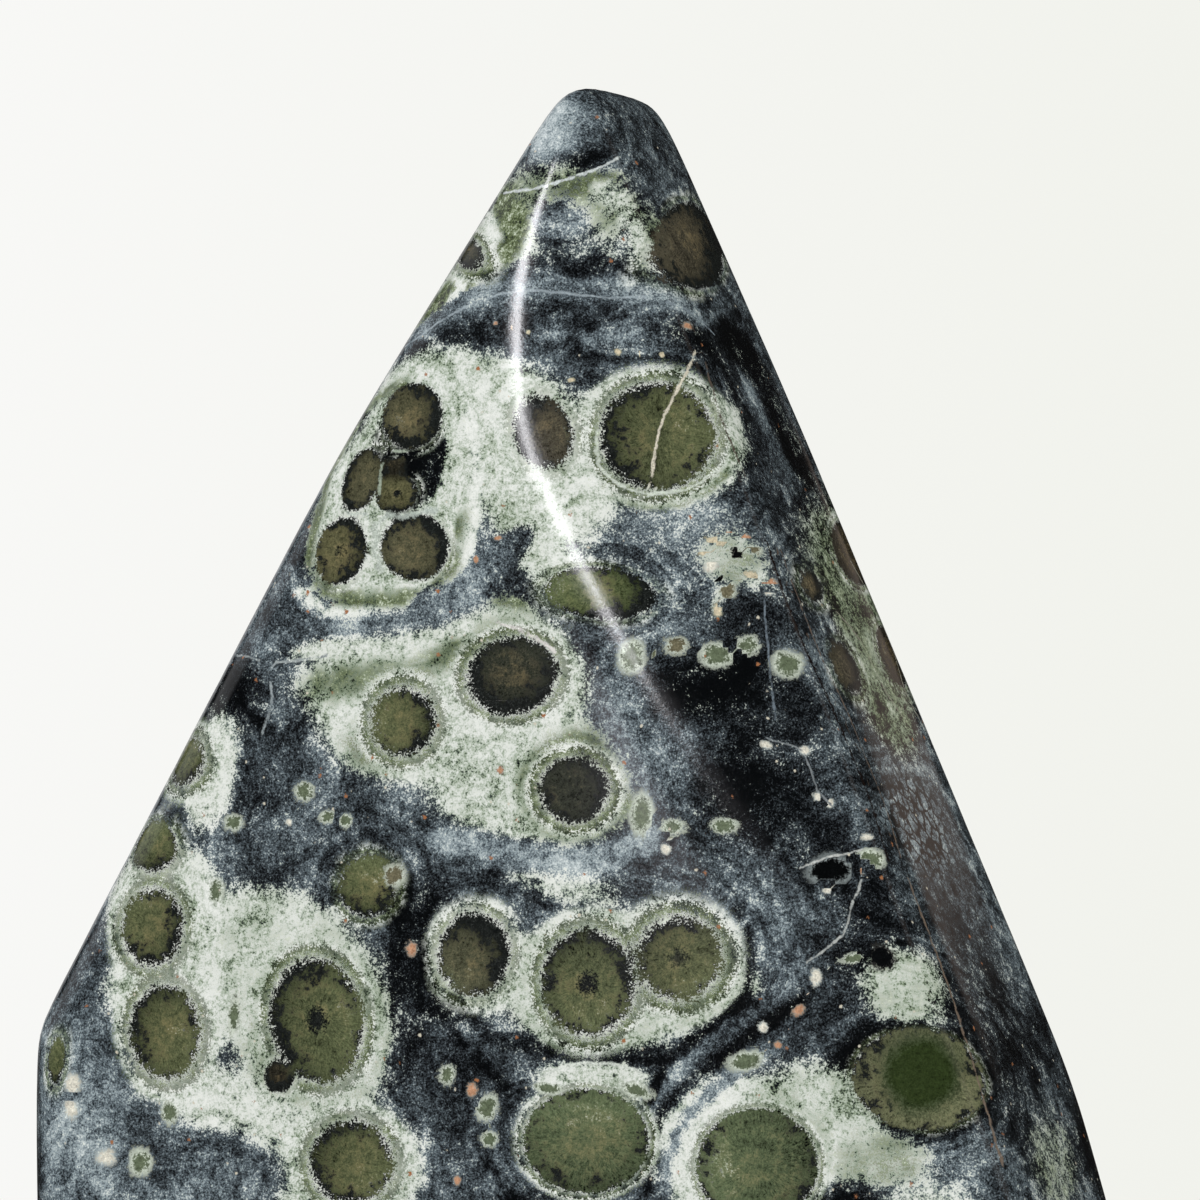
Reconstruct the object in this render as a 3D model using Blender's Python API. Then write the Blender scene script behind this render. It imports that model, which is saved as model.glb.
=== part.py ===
"""Kambaba jasper: one polished standing stone, ground in broad facets and worn round along its ridges.

Metres, +Z up. The stone stands on its flat base, and the origin is at the middle of that base.
The front, where the two long ridges run down from the tip, faces -Y.
"""

from math import cos, radians, sin

import bmesh
import bpy
from mathutils import Vector

# Driving dimensions
HEIGHT = 0.115
HALF_WIDTH = 0.0375
HALF_DEPTH = 0.0270
BLANK_MARGIN = 0.020
SMALLEST_EDGE = 0.00008

# Radius that each ridge is rounded to. The right ridge is sharper than most, and the front ridge softer.
RIDGE_RADIUS = 0.0036
RIGHT_RIDGE_RADIUS = 0.0016
FRONT_RIDGE_RADIUS = 0.0060
FRONT_SWELL_RADIUS = 0.0300
TIP_RADIUS = 0.0032
LOWER_RADIUS = 0.0080
BASE_RADIUS = 0.0014

# Each rounded ridge turns by about this many degrees from one narrow facet to the next
ROUNDING_TURN = 9.0

# Places that the cuts pass through
FRONT_RIDGE_BEND = (-0.128 * HALF_WIDTH, -0.515 * HALF_DEPTH, 0.822 * HEIGHT)
FRONT_RIDGE_FOOT = (0.256 * HALF_WIDTH, -0.756 * HALF_DEPTH, 0.550 * HEIGHT)
RIGHT_RIDGE_TOP = (0.347 * HALF_WIDTH, -0.667 * HALF_DEPTH, 0.725 * HEIGHT)
RIGHT_RIM = (0.596 * HALF_WIDTH, -0.111 * HALF_DEPTH, 0.684 * HEIGHT)
LEFT_RIM = (-0.644 * HALF_WIDTH, -0.333 * HALF_DEPTH, 0.684 * HEIGHT)
BACK_MIDDLE = (0.0, 0.820 * HALF_DEPTH, 0.435 * HEIGHT)
TIP = (0.064 * HALF_WIDTH, -0.148 * HALF_DEPTH, 0.998 * HEIGHT)
LEFT_FLANK = (-0.985 * HALF_WIDTH, -0.185 * HALF_DEPTH, 0.383 * HEIGHT)
RIGHT_FLANK = (HALF_WIDTH, 0.0, 0.296 * HEIGHT)
UNDER_LEFT = (-0.800 * HALF_WIDTH, 0.0, 0.122 * HEIGHT)
UNDER_RIGHT = (0.827 * HALF_WIDTH, 0.0, 0.122 * HEIGHT)
UNDER_FRONT = (0.0, -0.741 * HALF_DEPTH, 0.157 * HEIGHT)
UNDER_BACK = (0.0, 0.741 * HALF_DEPTH, 0.157 * HEIGHT)

# Each facet: its name, the way it faces in degrees around Z from the front, its lean upwards, and its place
FACETS = (
    ("base", 0.0, -90.0, (0.0, 0.0, 0.0)),
    ("upper_left", -26.0, 14.0, FRONT_RIDGE_BEND),
    ("lower_left", -18.8, 4.0, FRONT_RIDGE_BEND),
    ("centre", -4.5, 10.7, FRONT_RIDGE_BEND),
    ("lower_front", -15.4, 3.0, FRONT_RIDGE_FOOT),
    ("right", 66.8, 23.0, RIGHT_RIDGE_TOP),
    ("right_flank", 91.0, 13.7, RIGHT_FLANK),
    ("back_right", 121.0, 16.3, RIGHT_RIM),
    ("back", 180.0, 16.0, BACK_MIDDLE),
    ("back_left", -124.0, 26.3, LEFT_RIM),
    ("left_flank", -85.0, -1.0, LEFT_FLANK),
    ("tip", 50.0, 84.0, TIP),
    ("under_left", -80.0, -32.0, UNDER_LEFT),
    ("under_right", 80.0, -30.0, UNDER_RIGHT),
    ("under_front", -5.0, -28.0, UNDER_FRONT),
    ("under_back", 175.0, -28.0, UNDER_BACK),
)

# Ridges with a radius of their own, by the facets that meet there
RIDGE_RADII = {
    ("upper_left", "centre"): FRONT_RIDGE_RADIUS,
    ("lower_left", "centre"): FRONT_RIDGE_RADIUS,
    ("centre", "lower_front"): FRONT_SWELL_RADIUS,
    ("lower_left", "lower_front"): FRONT_SWELL_RADIUS,
    ("upper_left", "lower_left"): FRONT_SWELL_RADIUS,
    ("centre", "right"): RIGHT_RIDGE_RADIUS,
}

# Polished stone, seen as one colour: the mean of slate, pale green and olive
STONE_COLOUR = (0.085, 0.098, 0.092, 1.0)
STONE_ROUGHNESS = 0.16


def facing(turn, lean):
    """The outward direction of a facet."""
    around = radians(turn)
    up = radians(lean)
    return Vector((sin(around) * cos(up), -cos(around) * cos(up), sin(up)))


def rough_block():
    """A block that is larger than the finished stone on every side."""
    block = bmesh.new()
    bmesh.ops.create_cube(block, size=1.0)
    size = Vector((HALF_WIDTH + BLANK_MARGIN, HALF_DEPTH + BLANK_MARGIN, HEIGHT / 2 + BLANK_MARGIN)) * 2
    bmesh.ops.scale(block, vec=size, verts=block.verts)
    bmesh.ops.translate(block, vec=(0.0, 0.0, HEIGHT / 2), verts=block.verts)
    return block


def grind(block, place, direction):
    """Take off everything beyond one plane, and close the cut with a flat facet, which is returned."""
    everything = block.verts[:] + block.edges[:] + block.faces[:]
    bmesh.ops.bisect_plane(block, geom=everything, plane_co=place, plane_no=direction, clear_outer=True)
    rim = [edge for edge in block.edges if edge.is_boundary]
    made = bmesh.ops.contextual_create(block, geom=rim)
    return made["faces"]


def ridge_radius(first, second):
    """How round the ridge between two facets is."""
    if "base" in (first, second):
        return BASE_RADIUS
    if "tip" in (first, second):
        return TIP_RADIUS
    if first.startswith("under") or second.startswith("under"):
        return LOWER_RADIUS
    for pair in ((first, second), (second, first)):
        if pair in RIDGE_RADII:
            return RIDGE_RADII[pair]
    return RIDGE_RADIUS


def find_ridges(block, facet_number):
    """Each ridge of the ground block: a point on it, its two outward directions and its radius."""
    ridges = []
    for edge in block.edges:
        first, second = edge.link_faces
        names = (FACETS[first[facet_number]][0], FACETS[second[facet_number]][0])
        middle = (edge.verts[0].co + edge.verts[1].co) / 2
        ridges.append((middle, first.normal.copy(), second.normal.copy(), ridge_radius(*names)))
    return ridges


def round_ridge(block, middle, first, second, radius):
    """Grind narrow facets that touch a cylinder laid inside the ridge, so that the ridge turns round."""
    angle = first.angle(second)
    centre = middle - (first + second).normalized() * (radius / cos(angle / 2))
    steps = max(2, round(angle / radians(ROUNDING_TURN)))
    for step in range(1, steps):
        direction = first.slerp(second, step / steps)
        grind(block, centre + direction * radius, direction)


def flatten_base(block):
    """Make the base one flat face at Z = 0."""
    base = min(block.faces, key=lambda face: face.calc_center_median().z)
    for vert in base.verts:
        vert.co.z = 0.0


def jasper_material():
    """Polished kambaba jasper."""
    material = bpy.data.materials.new("polished_jasper")
    material.use_nodes = True
    shader = material.node_tree.nodes["Principled BSDF"]
    shader.inputs["Base Color"].default_value = STONE_COLOUR
    shader.inputs["Roughness"].default_value = STONE_ROUGHNESS
    shader.inputs["Metallic"].default_value = 0.0
    return material


def make_stone():
    """The whole stone: a block ground facet by facet, then rounded along every ridge."""
    block = rough_block()
    facet_number = block.faces.layers.int.new("facet_number")
    for number, (_, turn, lean, place) in enumerate(FACETS):
        for face in grind(block, Vector(place), facing(turn, lean)):
            face[facet_number] = number
    bmesh.ops.recalc_face_normals(block, faces=block.faces)
    for middle, first, second, radius in find_ridges(block, facet_number):
        round_ridge(block, middle, first, second, radius)
    bmesh.ops.remove_doubles(block, verts=block.verts, dist=SMALLEST_EDGE)
    flatten_base(block)
    bmesh.ops.recalc_face_normals(block, faces=block.faces)

    mesh = bpy.data.meshes.new("jasper_stone")
    block.to_mesh(mesh)
    block.free()
    mesh.materials.append(jasper_material())
    mesh.shade_smooth()
    stone = bpy.data.objects.new("jasper_stone", mesh)
    bpy.context.scene.collection.objects.link(stone)


def main():
    for item in list(bpy.data.objects):
        bpy.data.objects.remove(item)
    make_stone()


main()
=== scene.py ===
"""Kambaba jasper, the looks: a polished standing stone with orbs, pale rims and slate bands."""

from collections import namedtuple
from math import cos, pi, radians, sin, sqrt

import bmesh
import bpy
import numpy as np
from bpy.props import FloatProperty, IntProperty, PointerProperty, StringProperty
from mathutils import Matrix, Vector
from mathutils.bvhtree import BVHTree


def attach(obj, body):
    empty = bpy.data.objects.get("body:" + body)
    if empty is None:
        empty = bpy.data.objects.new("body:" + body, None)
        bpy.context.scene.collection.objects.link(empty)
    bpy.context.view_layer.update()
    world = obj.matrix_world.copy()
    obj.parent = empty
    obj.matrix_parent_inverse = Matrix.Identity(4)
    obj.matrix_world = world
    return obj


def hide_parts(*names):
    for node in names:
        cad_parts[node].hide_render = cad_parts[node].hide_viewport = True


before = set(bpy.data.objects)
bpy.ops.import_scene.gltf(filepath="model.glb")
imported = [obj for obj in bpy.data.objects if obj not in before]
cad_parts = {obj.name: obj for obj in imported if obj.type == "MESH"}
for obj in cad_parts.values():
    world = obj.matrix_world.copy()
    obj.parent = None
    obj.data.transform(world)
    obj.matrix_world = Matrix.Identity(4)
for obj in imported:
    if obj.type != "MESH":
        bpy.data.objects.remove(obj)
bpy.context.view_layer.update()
NODE = "jasper_stone"

bl_info = {
    "name": "Kambaba jasper",
    "version": (1, 0, 0),
    "blender": (4, 5, 0),
    "location": "3D View > Sidebar > Jasper",
    "description": "Builds a polished kambaba jasper standing stone and a plain studio around it",
    "category": "Add Mesh",
}

# The photograph's frame: 1200 by 1200 pixels, each 0.07 mm across on the plane through the stone's middle
FRAME_MIDDLE = 600.0
PIXEL_MM = 0.07
# The camera stands here and looks level, straight to the back
EYE_MM = Vector((2.0, -450.0, 79.4))
SENSOR_MM = 36.0
MM = 0.001

# How far blending the ridges would otherwise wear the surface down, as a share of their softness
WEAR = 0.75
POLISH_ROUNDS = 5
# The tip is worn rounder than the ridges, by this much more, between these heights. Its flat top is raised
# before the wear, which leaves it domed.
TIP_SOFTNESS = 1.5
TIP_HEIGHTS_MM = (88.0, 114.0)
TIP_DOME_MM = 1.2

# A mark reaches this many times its radius into the stone, so that it bends over a ridge
MARK_DEPTH = 2.0
# Lines are followed over the stone in steps of this many pixels
TRACE_STEP = 7
# Stands for no mark, both as a distance in millimetres and as the length of a vector in a mark's own radii
AWAY = 9.0
# No bead or vein shows where the nearest two are equally far to within this gap, or beyond this reach
MARK_GAP_MM = 0.3
MARK_REACH_MM = 1.1
# Fields of neighbouring orbs blend over this share of a ring, and the flow around them over this distance
SEAM_RINGS = 0.25
FLOW_BLEND_MM = 1.4

# The made-up marks of the hidden sides: how many places are tried, the first of them for orbs, the radii, how
# far apart the middles are, as a multiple of both radii, and how far each keeps from what the camera sees,
# which ends at a row of pixels just below the photograph
HIDDEN_TRIES = 1500
HIDDEN_ORB_TRIES = 340
HIDDEN_ORB_RADII_MM = (1.8, 4.3)
HIDDEN_BEAD_RADII_MM = (0.18, 0.75)
HIDDEN_ORB_SPACING = 1.34
HIDDEN_BEAD_SPACING = 1.5
HIDDEN_MARGIN_MM = 1.0
SEEN_ROWS = 1215
HIDDEN_CLOUDS = 70
HIDDEN_ORB_KINDS = ("olive", "eyed", "eyed", "green", "brown", "smoke", "deep")
HIDDEN_BEAD_KINDS = ("leaf", "leaf", "leaf", "tan", "pearl", "peach")

# How pale, light, green and cracked the rock is where nothing is laid over it
BARE_ROCK = (0.0, 0.37, 0.0, 0.0)

# The stage, in metres: the paper, the distances between which it fades out, and the drape
FLOOR_RADIUS = 0.36
FLOOR_FADE = (0.09, 0.34)
DRAPE_RADIUS = 1.5
DRAPE_MIDDLE = (0.0, 0.0, 0.07)

# What an orb looks like. core: its colour. rim: width of the black rim, as a share of the orb's radius. bare:
# how much of that rim fades away on the side opposite its thickest. halo, leaf and nucleus: strength of the
# pale rings, the green ring and the black eye. ring_mm: the width that the rings are measured in.
Kind = namedtuple("Kind", "core rim bare halo leaf nucleus ring_mm")
KINDS = {
    "olive": Kind("#585E42", 0.30, 0.8, 1.0, 0.8, 0.0, 0.50),
    "eyed": Kind("#585F43", 0.30, 0.8, 1.0, 0.9, 1.0, 0.50),
    "green": Kind("#59654A", 0.06, 1.0, 0.9, 0.7, 0.0, 0.26),
    "deep": Kind("#717458", 0.12, 0.5, 0.0, 0.3, 0.0, 0.22),
    "lens": Kind("#56603F", 0.42, 1.0, 0.0, 0.3, 0.0, 0.35),
    "brown": Kind("#4C4A38", 0.36, 0.7, 0.7, 0.4, 0.0, 0.40),
    "lobe": Kind("#54533F", 0.40, 0.6, 0.25, 0.0, 0.0, 0.22),
    "lobe_eyed": Kind("#5B5A40", 0.36, 0.6, 0.25, 0.0, 1.0, 0.22),
    "umber": Kind("#2C2A22", 0.50, 0.5, 0.2, 0.0, 0.0, 0.18),
    "dusk": Kind("#50513F", 0.66, 0.9, 0.35, 0.5, 0.0, 0.45),
    "wide": Kind("#585D42", 0.22, 0.9, 0.8, 1.1, 0.8, 0.60),
    "veiled": Kind("#2A281F", 0.20, 0.6, 0.35, 0.3, 0.0, 0.30),
    "fern": Kind("#5A6144", 0.25, 1.0, 0.2, 0.6, 0.0, 0.35),
    "smoke": Kind("#34372E", 0.42, 0.5, 0.9, 0.9, 0.0, 0.45),
    "smudge": Kind("#4B473B", 0.60, 0.8, 0.0, 0.3, 0.0, 0.45),
}

# Beads are orbs too small for more than one ring, and the black pits and hollow, whose black is painted shade
# in small pits. edge: width of that ring, as a share of the radius.
BeadKind = namedtuple("BeadKind", "core ring edge")
BEAD_KINDS = {
    "leaf": BeadKind("#65705A", "#BFC7BB", 0.45),
    "tan": BeadKind("#6F6A55", "#B9C0B4", 0.40),
    "pearl": BeadKind("#E0DCD0", "#B9BFBC", 0.25),
    "peach": BeadKind("#BE9073", "#9C958B", 0.25),
    "cream": BeadKind("#D8CBB0", "#8B8F80", 0.30),
    "fern": BeadKind("#2E3A1E", "#47503A", 0.20),
    # The last two are painted shade: black for small pits, which have no depth in the mesh
    "shaded_hollow": BeadKind("#07090A", "#8D9698", 0.22),
    "shaded_pit": BeadKind("#0A0C0E", "#3A3A38", 0.20),
}

# The orbs that the photograph shows: middle, half width, half height in its pixels, turn in degrees,
# the side that the black rim is thickest on (0 right, 90 down), and what it looks like
Orb = namedtuple("Orb", "x y wide tall turn thick kind")
ORBS = [Orb(*row) for row in (
    (468, 253, 14, 16, 0, 90, "smoke"),
    (694, 245, 32, 46, -15, 0, "smudge"),
    (412, 416, 31, 34, 20, -10, "lobe"),
    (361, 480, 18, 34, 18, 200, "lobe"),
    (394, 468, 13, 12, 0, 90, "umber"),
    (397, 494, 22, 20, -20, 90, "lobe_eyed"),
    (341, 551, 25, 35, 12, 0, "lobe_eyed"),
    (415, 547, 35, 34, 0, -30, "lobe"),
    (543, 432, 30, 38, -20, 180, "smudge"),
    (657, 436, 59, 55, 0, 170, "olive"),
    (600, 593, 58, 27, 6, 20, "lens"),
    (512, 676, 47, 40, -10, 90, "smoke"),
    (403, 722, 33, 36, 0, 0, "olive"),
    (574, 790, 36, 34, 0, 0, "smoke"),
    (368, 886, 30, 32, 15, 90, "fern"),
    (152, 845, 22, 26, 20, 90, "fern"),
    (186, 760, 12, 26, 20, 90, "olive"),
    (152, 927, 32, 41, 5, 45, "olive"),
    (165, 1032, 36, 48, -5, 210, "olive"),
    (56, 1060, 9, 26, 5, 90, "fern"),
    (317, 1020, 48, 64, -8, 190, "eyed"),
    (279, 1077, 16, 17, 0, 90, "umber"),
    (351, 1163, 43, 43, 0, 205, "olive"),
    (474, 954, 37, 43, 10, 315, "dusk"),
    (588, 983, 48, 55, 0, 265, "eyed"),
    (679, 958, 44, 43, 20, 225, "wide"),
    (586, 1141, 64, 53, 0, 90, "green"),
    (757, 1166, 62, 58, 0, 0, "green"),
    (919, 1079, 68, 51, 5, 200, "deep"),
    (851, 553, 12, 36, -22, 0, "veiled"),
    (892, 656, 10, 34, -22, 0, "veiled"),
    (846, 668, 12, 30, -24, 0, "smudge"),
    (812, 586, 10, 20, -24, 0, "smudge"),
)]

# The small beads that the photograph shows, by what they look like, measured in the same way
Bead = namedtuple("Bead", "x y wide tall turn", defaults=(0,))
BEADS = {
    "leaf": (
        (304, 791, 7, 7), (234, 823, 7, 6), (327, 817, 6, 5), (346, 820, 5, 5), (632, 656, 10, 13, 20),
        (717, 655, 13, 9), (747, 645, 9, 7), (787, 664, 12, 10), (642, 815, 9, 16), (672, 827, 10, 6),
        (725, 826, 9, 6), (746, 1061, 14, 7, -12), (487, 1108, 8, 10, 10), (489, 1139, 6, 6),
        (447, 1076, 6, 8), (216, 890, 5, 8), (170, 1113, 6, 8), (140, 1162, 9, 10), (234, 1016, 4, 14, 5),
        (548, 1088, 11, 4, 10), (636, 1090, 12, 5, 20), (871, 859, 11, 9), (854, 958, 12, 4, -10),
    ),
    "pearl": (
        (289, 822, 3, 3), (816, 977, 4, 7), (73, 1083, 7, 8), (71, 1108, 6, 8), (105, 1157, 8, 7),
        (805, 751, 5, 4), (766, 745, 5, 3, 20), (819, 797, 5, 4, 40), (829, 803, 4, 4), (827, 890, 4, 4),
        (868, 837, 6, 3), (666, 849, 4, 4), (763, 1027, 4, 4), (741, 564, 3, 2), (711, 566, 6, 7),
        (770, 592, 5, 3),
    ),
    "tan": (
        (676, 646, 9, 7), (395, 876, 8, 8), (752, 548, 8, 5, 20), (726, 590, 7, 8, 20),
    ),
    "peach": (
        (862, 868, 5, 6, 30), (495, 323, 2, 2), (688, 326, 4, 3, 30), (498, 538, 3, 2), (476, 559, 2, 3),
        (412, 948, 5, 6, 10), (472, 1090, 4, 6), (457, 1180, 3, 4), (798, 1010, 6, 4, -30),
        (778, 1045, 3, 3), (500, 770, 3, 3), (744, 537, 6, 3, 20), (728, 534, 6, 3, -10),
        (768, 583, 7, 4, 10),
    ),
    "cream": (
        (618, 352, 3, 3), (528, 332, 2, 2), (662, 355, 2, 2), (571, 380, 3, 2), (716, 541, 12, 5, -10),
        (705, 552, 7, 5, 30), (753, 576, 8, 4, 20), (718, 610, 4, 6),
    ),
    "fern": (
        (921, 1074, 36, 35),
    ),
    # Painted shade: black where small pits are, which have no depth in the mesh
    "shaded_hollow": (
        (831, 870, 20, 13, -5),
    ),
    "shaded_pit": (
        (881, 958, 13, 11), (738, 554, 7, 5, 60), (720, 580, 5, 4),
    ),
}

# Veins, cracks and the painted reflections along the right ridge, as points along each, with the half width
# in pixels, its colour and how broken it is
VeinAndReflection = namedtuple("VeinAndReflection", "points half_width colour broken")
VEINS_AND_RIDGE_REFLECTIONS = [VeinAndReflection(*row) for row in (
    (((496, 194), (520, 191), (545, 186), (580, 175), (604, 166), (620, 156)), 1.3, "#D5DCDE", 0.1),
    (
        ((699, 337), (693, 358), (684, 378), (674, 396), (661, 425), (655, 452), (651, 480)),
        1.3, "#D9D2C2", 0.1,
    ),
    (((378, 449), (395, 451), (413, 450)), 1.3, "#A2AD9F", 0.2),
    (((385, 452), (381, 470), (379, 500)), 1.3, "#9AA596", 0.2),
    (((350, 514), (378, 514), (405, 516), (438, 508)), 2.6, "#B4BEB8", 0.15),
    (((374, 516), (375, 540), (380, 568)), 3.2, "#B9C2BA", 0.1),
    (
        ((405, 347), (440, 322), (475, 303), (515, 291), (556, 292), (600, 297), (655, 297)),
        1.1, "#A3AFB8", 0.6,
    ),
    (((655, 297), (690, 312), (715, 335)), 1.1, "#8A97A2", 0.7),
    (((497, 622), (520, 630), (540, 641), (556, 652)), 1.9, "#E2DEDD", 0.2),
    (
        ((598, 425), (596, 450), (603, 470), (622, 486), (650, 494), (690, 488), (716, 470)),
        1.6, "#D5DDD4", 0.3,
    ),
    (((800, 868), (825, 858), (840, 855), (862, 850)), 1.0, "#C9CCCB", 0.3),
    (((862, 880), (852, 905), (846, 930), (825, 950), (806, 963)), 1.1, "#C2C6C5", 0.4),
    (((764, 600), (767, 640), (771, 680), (775, 720)), 1.0, "#77838F", 0.6),
    (((766, 738), (785, 744), (803, 752), (818, 790), (832, 806)), 0.8, "#8A9095", 0.4),
    (((545, 1075), (575, 1064), (615, 1064), (648, 1076)), 1.5, "#DCE2DC", 0.3),
    (((235, 655), (280, 662), (330, 655)), 1.2, "#A5ADB0", 0.6),
    (((268, 665), (272, 700), (262, 735)), 1.2, "#9AA3A8", 0.6),
    # These four are painted reflections of the right ridge: a brown line down its upper part and a dark one
    # below, a lighter brown line beside the dark one, and a painted highlight where the ridge crosses the
    # deep orb
    (((688, 320), (700, 345), (722, 420), (747, 480)), 1.2, "#5A5049", 0.7),
    (
        ((766, 540), (786, 600), (808, 655), (832, 706), (852, 755), (872, 806), (888, 860)),
        1.3, "#1C1412", 0.1,
    ),
    (
        ((780, 548), (800, 603), (822, 658), (846, 709), (866, 758), (886, 809), (904, 868)),
        1.0, "#6E6056", 0.5,
    ),
    (((904, 868), (922, 915), (948, 985), (972, 1060), (988, 1115), (1003, 1165)), 1.5, "#7E6F63", 0.2),
    (((850, 560), (872, 600), (890, 640), (905, 690), (925, 730)), 1.2, "#A09D92", 0.4),
    (((835, 610), (860, 640), (885, 690), (905, 720)), 1.2, "#8E8A80", 0.5),
)]

# Washes of colour under the orbs, laid on in this order. soft: how much of the radius its edge fades over.
# mint: pale granular rock in place of slate. haze: how light either of them is. moss: green in place of pale.
# web: a net of fine cracks.
Wash = namedtuple("Wash", "x y wide tall turn soft mint haze moss web", defaults=(0.0, 0.0))
WASHES = [Wash(*row) for row in (
    (600, 130, 90, 45, 0, 0.3, 0.0, 0.34),
    (555, 125, 30, 34, 30, 0.5, 0.0, 0.76),
    (575, 160, 34, 10, -15, 0.5, 0.0, 0.18),
    (575, 215, 110, 48, 10, 0.25, 0.62, 0.36, 0.45),
    (590, 184, 40, 9, -18, 0.5, 0.80, 0.5, 0.9),
    (480, 262, 36, 60, 40, 0.3, 0.85, 0.55, 0.35),
    (504, 203, 18, 8, -10, 0.5, 0.1, 0.15),
    (560, 226, 30, 26, 0, 0.5, 0.12, 0.55),
    (600, 246, 50, 12, 0, 0.5, 0.35, 0.45),
    (632, 228, 12, 13, 0, 0.5, 0.10, 0.35),
    (440, 330, 60, 26, -32, 0.3, 0.0, 0.15),
    (600, 320, 120, 48, 5, 0.25, 0.0, 0.38),
    (540, 318, 30, 16, 0, 0.4, 0.0, 0.28),
    (700, 400, 60, 90, -20, 0.3, 0.0, 0.05),
    (470, 410, 110, 60, 10, 0.25, 0.95, 0.6),
    (400, 500, 80, 112, 20, 0.15, 0.95, 0.6),
    (407, 455, 38, 60, 10, 0.15, 0.0, 0.04),
    (540, 490, 60, 110, -25, 0.3, 1.0, 0.6),
    (657, 440, 90, 75, 0, 0.2, 0.85, 0.6),
    (610, 560, 60, 40, 20, 0.4, 0.75, 0.5),
    (480, 570, 60, 16, -38, 0.5, 0.0, 0.40),
    (380, 640, 90, 26, -8, 0.4, 0.75, 0.5),
    (515, 610, 26, 14, 30, 0.5, 0.8, 0.5, 0.8),
    (690, 560, 110, 60, 0, 0.3, 0.15, 0.45),
    (735, 560, 34, 28, 20, 0.5, 0.85, 0.66, 0.4),
    (765, 585, 14, 12, 20, 0.5, 0.9, 0.7, 0.2),
    (718, 605, 8, 16, 20, 0.5, 0.8, 0.6, 0.3),
    (770, 620, 60, 34, 0, 0.3, 0.0, 0.25),
    (500, 690, 90, 82, 0, 0.2, 0.90, 0.6),
    (390, 720, 85, 60, 15, 0.25, 0.92, 0.6),
    (520, 780, 105, 70, 15, 0.25, 0.88, 0.6),
    (360, 680, 66, 20, -6, 0.5, 0.8, 0.34, 0.52),
    (460, 650, 60, 16, -25, 0.5, 0.8, 0.34, 0.56),
    (582, 786, 62, 58, 0, 0.25, 0.9, 0.45, 0.8),
    (375, 745, 34, 26, 0, 0.5, 0.9, 0.5, 0.6),
    (655, 750, 40, 95, -22, 0.5, 0.0, 0.40),
    (725, 690, 70, 34, 0, 0.4, 0.0, 0.0),
    (755, 800, 60, 60, -10, 0.4, 0.0, 0.02),
    (785, 735, 60, 60, -20, 0.4, 0.0, 0.13),
    (830, 880, 40, 90, -20, 0.4, 0.0, 0.05),
    (260, 790, 70, 80, 10, 0.35, 0.0, 0.36),
    (235, 700, 30, 40, 0, 0.3, 0.0, 0.08),
    (210, 770, 26, 60, 10, 0.3, 0.8, 0.6),
    (340, 835, 90, 30, 0, 0.4, 0.0, 0.34),
    (250, 960, 110, 75, 0, 0.3, 0.90, 0.6, 0.12),
    (160, 900, 60, 60, 0, 0.25, 0.95, 0.7),
    (160, 1020, 65, 80, 0, 0.2, 0.95, 0.7),
    (318, 1030, 85, 92, 0, 0.25, 0.92, 0.6, 0.3),
    (350, 1165, 75, 62, 0, 0.2, 0.95, 0.7),
    (230, 1110, 80, 35, 30, 0.3, 0.9, 0.7),
    (80, 1100, 50, 110, 0, 0.3, 0.0, 0.56),
    (210, 1180, 70, 50, 0, 0.3, 0.0, 0.45),
    (425, 970, 38, 90, 0, 0.3, 0.0, 0.05),
    (470, 1090, 60, 80, 0, 0.3, 0.0, 0.34),
    (475, 960, 55, 58, 0, 0.2, 0.85, 0.7),
    (600, 985, 95, 75, 0, 0.15, 0.95, 0.6, 0.2),
    (690, 962, 78, 70, 0, 0.15, 0.95, 0.6, 0.25),
    (586, 1130, 68, 64, 0, 0.12, 0.6, 0.6),
    (594, 1078, 58, 18, 4, 0.3, 0.95, 0.7),
    (740, 1150, 95, 75, 0, 0.15, 0.90, 0.7),
    (560, 880, 60, 22, 15, 0.5, 0.65, 0.5),
    (720, 880, 120, 40, 20, 0.5, 0.0, 0.35),
    (850, 900, 60, 70, -20, 0.4, 0.0, 0.10),
    (790, 930, 50, 50, 0, 0.5, 0.0, 0.50),
    (916, 990, 54, 38, 25, 0.4, 0.95, 0.52, 0.25),
    (913, 1082, 88, 58, 5, 0.15, 0.0, 0.03),
    (815, 1120, 66, 56, 20, 0.35, 0.90, 0.56, 0.2),
    (880, 1160, 50, 26, 0, 0.4, 0.8, 0.48, 0.45),
    (900, 800, 46, 130, -20, 0.4, 0.0, 0.33),
    (918, 826, 30, 64, -24, 0.4, 0.0, 0.50, 0.0, 1.0),
    (810, 560, 26, 60, -24, 0.5, 0.0, 0.22),
    (868, 600, 34, 110, -24, 0.4, 0.60, 0.12, 0.38),
    (885, 700, 22, 60, -24, 0.4, 0.60, 0.12, 0.38),
    (655, 150, 26, 70, -22, 0.4, 0.0, 0.32),
    (812, 586, 14, 30, -24, 0.5, 0.3, 0.25, 0.8),
    (822, 620, 10, 60, -24, 0.5, 0.0, 0.30),
    (1000, 1040, 40, 110, -20, 0.4, 0.0, 0.16),
    (1055, 1165, 24, 50, -10, 0.5, 0.45, 0.35, 0.3),
)]

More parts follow.
